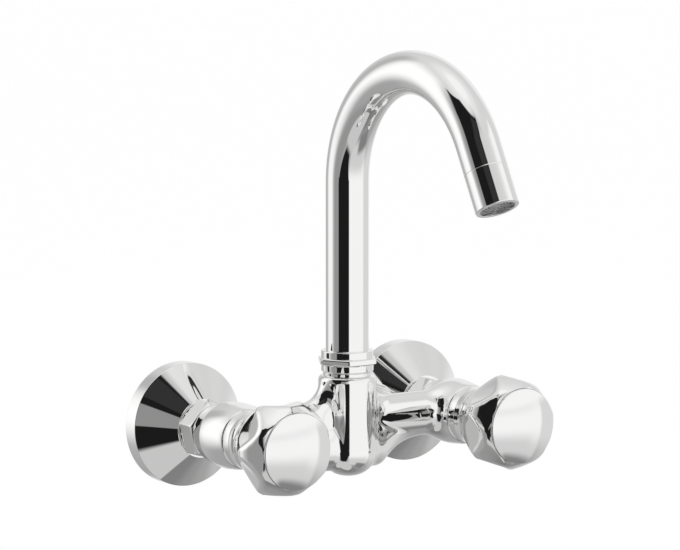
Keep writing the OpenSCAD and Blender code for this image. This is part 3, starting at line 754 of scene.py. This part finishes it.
def cap_form():
    """A disc with a rounded rim and a low spherical dome."""
    dome_from = CAP_R - CAP_EDGE - 0.6
    line, out, _ = rounded(
        [
            (0, CAP_BACK, 0),
            (CAP_R - 0.2, CAP_BACK, 0.2),
            (CAP_R, CAP_BACK + 0.4, 0.2),
            (CAP_R, CAP_RIM, CAP_EDGE),
            (dome_from, float(cap_height(dome_from)), 0),
        ]
    )
    r = np.linspace(dome_from, 0, 24)
    dome = np.stack([r, cap_height(r)], -1)
    tilt = np.stack([r, np.sqrt(CAP_DOME_R**2 - r**2)], -1) / CAP_DOME_R
    line = np.concatenate([line[:-1], dome])
    out = np.concatenate([out[:-1], tilt])
    return turned((line, out, False), FINEST_COLUMNS)


for name, side in SIDES.items():
    place, body = on_inlet(side), f"{name}_handle"
    metal = knob_form(math.radians(KNOB_TURN[name]))
    add(f"knob_{name}_metal", metal, moved_along(place, KNOB_BACK), body, [f"knob_{name}"])
    add(f"knob_cap_{name}_dome", cap_form(), place, body, [f"knob_cap_{name}"], "cap_chrome")

# ------------------------------------------------------------------ spout

TUBE_COLUMNS, RISER_ROWS, BEND_ROWS, TAIL_ROWS = 144, 8, 160, 4

nut_collars = rounded(
    [
        (NECK_R + NUT_CLEARANCE, NUT_BASE, 0.2),
        (NUT_COLLAR_R, NUT_BASE, 0.5),
        (NUT_COLLAR_R, NUT_TOP, 0.5),
        (TUBE_R + NUT_CLEARANCE, NUT_TOP, 0.3),
        (TUBE_R + NUT_CLEARANCE, NUT_TOP - NUT_LIP, 0.1),
        (NECK_R + NUT_CLEARANCE, NUT_TOP - NUT_LIP, 0.1),
    ],
    closed=True,
)
hex_low = NUT_BASE + (NUT_TOP - NUT_BASE - NUT_HEX_T) / 2
hex_high = hex_low + NUT_HEX_T
nut_flats = rounded(
    [
        (NUT_COLLAR_R - 0.6, hex_low, 0),
        *hexagon_side(NUT_AF, hex_low, hex_high, NUT_CHAMFER, 0.3),
        (NUT_COLLAR_R - 0.6, hex_high, 0),
    ],
    closed=True,
    steps=HEXAGON_STEPS,
)
nut_hexagon = turned(nut_flats, FINEST_COLUMNS, hexagon(NUT_AF, math.radians(30)))
nut_collars = turned(nut_collars, FINE_COLUMNS)
add("spout_nut_collars", nut_collars, on_spout_axis, "fixed_parts", ["spout_nut"])
add("spout_nut_hexagon", nut_hexagon, on_spout_axis, "fixed_parts", [])


def gooseneck(radius):
    """Section circles along the spout: straight up the riser, round the bend, whose middle line is
    an arc in the YZ plane, and straight down the tail. Returns the points of the tube's wall and
    the normals that face out of it."""
    riser = np.linspace(TUBE_START, BEND_START, RISER_ROWS)[:-1]
    bend = np.linspace(0, BEND_ANGLE, BEND_ROWS)
    tail = np.linspace(0, TAIL_LENGTH, TAIL_ROWS)[1:, None]
    up = np.stack([0 * riser, 0 * riser - AXIS_FROM_WALL, riser], -1)
    from_wall = -AXIS_FROM_WALL - BEND_R * (1 - np.cos(bend))
    arc = np.stack([0 * bend, from_wall, BEND_START + BEND_R * np.sin(bend)], -1)
    down = arc[-1] + tail * np.array([0, -math.sin(BEND_ANGLE), math.cos(BEND_ANGLE)])
    middle = np.concatenate([up, arc, down])
    lean = np.concatenate([0 * riser, bend, np.full(len(tail), BEND_ANGLE)])
    outward = np.stack([0 * lean, np.cos(lean), np.sin(lean)], -1)
    angle = round_angles(TUBE_COLUMNS)[None, :, None]
    ring = np.cos(angle) * np.array([1.0, 0, 0]) + np.sin(angle) * outward[:, None]
    return middle[:, None] + radius * ring, ring


def tube_form():
    """The bent tube with its bore, closed at both ends by flat rims."""
    outer, out = gooseneck(TUBE_R)
    bore, bore_out = gooseneck(TUBE_BORE_R)
    points = np.concatenate([outer, bore[::-1]])
    return points, np.concatenate([out, -bore_out[::-1]]), True


collar = rounded(
    [
        (TUBE_R - 1.05, TAIL_LENGTH + COLLAR_GAP, 0.1),
        (TUBE_R, TAIL_LENGTH + COLLAR_GAP, 0.35),
        (TUBE_R, COLLAR_END, 0.7),
        (COLLAR_MOUTH_R, COLLAR_END, 0.3),
        (COLLAR_MOUTH_R, COLLAR_END - COLLAR_LIP, 0.2),
        (COLLAR_BORE_R, COLLAR_END - COLLAR_LIP, 0),
        (COLLAR_BORE_R, TAIL_LENGTH + 9, 0),
        (TUBE_R - 1.05, TAIL_LENGTH + 8.2, 0),
    ],
    closed=True,
)
collar = turned(collar, FINE_COLUMNS)
add("spout_tube_gooseneck", tube_form(), in_the_model, "spout", ["spout_tube"])
add("aerator_housing_collar", collar, on_spout_tail, "spout", ["aerator_housing"])

# ------------------------------------------------------------------ camera, floor and light

VIEW_AZIMUTH, VIEW_ELEVATION, VIEW_DISTANCE = math.radians(34.3), math.radians(7.43), 2412.7
VIEW_TARGET = np.array([-0.15, -50.0, 82.6])
FOCAL_PIXELS, IMAGE_WIDTH, SENSOR = 4345.4, 680, 36.0
FLOOR_REACH, FLOOR_HEIGHT = 60.0, -0.6
FLOOR_GREY, FLOOR_ROUGHNESS, FLOOR_LIFT = 0.8, 0.9, 0.5
KEY_POWER, KEY_SIZE, KEY_PLACE = 12.0, 1.2, (-0.9, -1.6, 1.8)
KEY_TILT, KEY_SWING = math.radians(42), math.radians(-28)
PLAIN_LIGHT = 0.75  # strength of the world where nothing glossy mirrors it
STUDIO_GAIN = 1.2
STUDIO_TURN = -34.3  # degrees from -Y, the user's side, to azimuth 0 of the walls and panels
WALLS = [
    # elevation, level
    (-90, 0.2),
    (-75, 0.24),
    (-62, 0.32),
    (-48, 0.39),
    (-35, 0.4),
    (-12, 0.56),
    (25, 0.64),
    (52, 0.74),
    (68, 0.86),
    (80, 1.0),
]
BLACK = 0.012
PANELS = [
    # low, high, left edge, right edge, value, softness of the sides and of the ends
    (-28, 34, (140, 140), (190, 190), 0.9, 22, 16),
    (-40, -18, (100, 100), (185, 185), 0.54, 20, 14),
    (-30, 42, (-150, -150), (-126, -126), 0.5, 16, 20),
    (-14, 44, (-124, -124), (-84, -84), 1.12, 22, 34),
    (-70, 36, (-78, -78), (-40, -40), 0.32, 22, 20),
    (-52, -24, (4, 4), (96, 96), 0.68, 8, 16),
    (-26, 40, (80, 80), (136, 136), 0.74, 14, 20),
    (-21, 14, (6, 6), (94, 94), 1.0, 6, 26),
    (12, 40, (4, 4), (108, 108), 1.0, 8, 10),
    (-62, -39, (42, 42), (98, 98), 0.24, 14, 10),
    (48, 66, (10, 10), (40, 40), 0.6, 20, 14),
    (26, 48, (-70, -76), (0, 14), BLACK, 7, 4),
    (43, 61, (-79, -46), (12, 26), BLACK, 5, 4),
    (-10, -3, (-47, -49), (9, 8), BLACK, 4, 1),
    (-5, 28, (-49, -70), (-7, -8), BLACK, 4, 1),
    (-41, -6, (-27, -47), (-9, 9), BLACK, 3, 2),
    (-4, 24, (-24, -24), (-5, -5), 0.3, 3, 1.5),
    (33, 57, (-24, -12), (-5, 20), 0.034, 3, 1.5),
    (-95, -36, (-75, -44), (56, 4), 0.62, 8, 8),
]


def set_camera():
    """The camera stands back from its target by its distance, against the way it looks: (sine of
    azimuth times cosine of elevation, cosine times cosine, minus sine of elevation)."""
    look = np.array(
        [
            math.sin(VIEW_AZIMUTH) * math.cos(VIEW_ELEVATION),
            math.cos(VIEW_AZIMUTH) * math.cos(VIEW_ELEVATION),
            -math.sin(VIEW_ELEVATION),
        ]
    )
    data = bpy.data.cameras.new("camera")
    data.sensor_width = SENSOR
    data.lens = FOCAL_PIXELS / IMAGE_WIDTH * SENSOR
    data.clip_start, data.clip_end = 0.05, 200
    camera = bpy.data.objects.new("camera", data)
    camera.location = (VIEW_TARGET - VIEW_DISTANCE * look) * MM
    camera.rotation_euler = (math.pi / 2 - VIEW_ELEVATION, 0, -VIEW_AZIMUTH)
    bpy.context.scene.collection.objects.link(camera)
    bpy.context.scene.camera = camera


def floor_material():
    """Pale floor: seen by the camera it is lifted to white, except where a shadow falls on it."""
    material = bpy.data.materials.new("pale_floor")
    tree, shader = node_tree(material)
    shader.inputs["Base Color"].default_value = (FLOOR_GREY, FLOOR_GREY, FLOOR_GREY, 1)
    shader.inputs["Roughness"].default_value = FLOOR_ROUGHNESS
    shader.inputs["Emission Color"].default_value = (1, 1, 1, 1)
    seen = tree.nodes.new("ShaderNodeLightPath").outputs["Is Camera Ray"]
    lift = math_node(tree, "MULTIPLY", seen, FLOOR_LIFT)
    link(tree, lift, shader.inputs["Emission Strength"])
    return material


def smooth_step(tree, value, at, width):
    """0 well below at, 1 well above it, smooth over a width."""
    made = tree.nodes.new("ShaderNodeMapRange")
    made.interpolation_type = "SMOOTHSTEP"
    link(tree, math_node(tree, "SUBTRACT", value, at), made.inputs["Value"])
    made.inputs["From Min"].default_value = -width / 2
    made.inputs["From Max"].default_value = width / 2
    return made.outputs[0]


def lay_panel(tree, azimuth, height, level, panel):
    """Lays a panel over the level so far: the level moves to the panel's value by the product of
    four smooth steps. Its edges run from left[0] and right[0] at the low elevation to left[1] and
    right[1] at the high one."""
    low, high, left, right, value, side_soft, end_soft = panel
    middle = sum(left + right) / 4
    off = tree.nodes.new("ShaderNodeMath")
    off.operation = "WRAP"
    link(tree, math_node(tree, "SUBTRACT", azimuth, middle), off.inputs[0])
    off.inputs[1].default_value, off.inputs[2].default_value = 180, -180
    above = smooth_step(tree, height, low, end_soft)
    inside = math_node(tree, "SUBTRACT", above, smooth_step(tree, height, high, end_soft))
    for sign, (at_low, at_high) in ((1, left), (-1, right)):
        slant = (at_high - at_low) / (high - low)
        edge = math_node(tree, "MULTIPLY_ADD", height, slant, at_low - low * slant - middle)
        over = math_node(tree, "SUBTRACT", off.outputs[0], edge)
        over = math_node(tree, "MULTIPLY", over, sign)
        inside = math_node(tree, "MULTIPLY", inside, smooth_step(tree, over, 0.0, side_soft))
    change = math_node(tree, "SUBTRACT", value, level)
    return math_node(tree, "MULTIPLY_ADD", inside, change, level)


def studio():
    """The world: white behind the object and as plain light, and for reflections a studio of pale
    walls with a lit ceiling and table. The walls' level steps smoothly from each elevation to the
    next, and panels are laid over them in turn, each a band of elevation between two slanting
    edges of azimuth, with soft or hard borders."""
    world = bpy.data.worlds.new("studio")
    bpy.context.scene.world = world
    world.use_nodes = True
    tree = world.node_tree
    tree.nodes.clear()
    way = tree.nodes.new("ShaderNodeTexCoord").outputs["Generated"]
    apart = tree.nodes.new("ShaderNodeSeparateXYZ")
    link(tree, way, apart.inputs[0])
    x, y, z = apart.outputs
    azimuth = math_node(tree, "ARCTAN2", x, math_node(tree, "MULTIPLY", y, -1.0))
    azimuth = math_node(tree, "MULTIPLY_ADD", azimuth, math.degrees(1), -STUDIO_TURN)
    height = math_node(tree, "MULTIPLY", math_node(tree, "ARCSINE", z), math.degrees(1))

    level = math_node(tree, "ADD", WALLS[0][1], 0.0)
    for (low, before), (high, after) in zip(WALLS, WALLS[1:]):
        rise = smooth_step(tree, height, (low + high) / 2, high - low)
        level = math_node(tree, "MULTIPLY_ADD", rise, after - before, level)
    for panel in PANELS:
        level = lay_panel(tree, azimuth, height, level, panel)

    seen = tree.nodes.new("ShaderNodeLightPath")
    to_camera, to_gloss = seen.outputs["Is Camera Ray"], seen.outputs["Is Glossy Ray"]
    plain = math_node(tree, "MULTIPLY_ADD", to_camera, 1.0 - PLAIN_LIGHT, PLAIN_LIGHT)
    shown = math_node(tree, "MULTIPLY", level, STUDIO_GAIN)
    extra = math_node(tree, "SUBTRACT", shown, plain)
    strength = math_node(tree, "MULTIPLY_ADD", to_gloss, extra, plain)
    shade = tree.nodes.new("ShaderNodeBackground")
    link(tree, strength, shade.inputs["Strength"])
    out = tree.nodes.new("ShaderNodeOutputWorld")
    link(tree, shade.outputs[0], out.inputs[0])


def key_light():
    """A large soft lamp above the object, in front and to the left, which nothing mirrors."""
    data = bpy.data.lights.new("key", "AREA")
    data.energy, data.size = KEY_POWER, KEY_SIZE
    key = bpy.data.objects.new("key", data)
    key.location = KEY_PLACE
    key.rotation_euler = (KEY_TILT, 0, KEY_SWING)
    key.visible_glossy = False
    bpy.context.scene.collection.objects.link(key)


set_camera()

floor_corners = [
    (x * FLOOR_REACH, y * FLOOR_REACH, FLOOR_HEIGHT)
    for x, y in ((-1, -1), (1, -1), (1, 1), (-1, 1))
]
floor_mesh = bpy.data.meshes.new("floor")
floor_mesh.from_pydata(floor_corners, [], [(0, 1, 2, 3)])
floor_mesh.materials.append(floor_material())
floor = bpy.data.objects.new("floor", floor_mesh)
bpy.context.scene.collection.objects.link(floor)
floor.visible_glossy = False

studio()
key_light()

bpy.context.scene.view_settings.view_transform = "Standard"
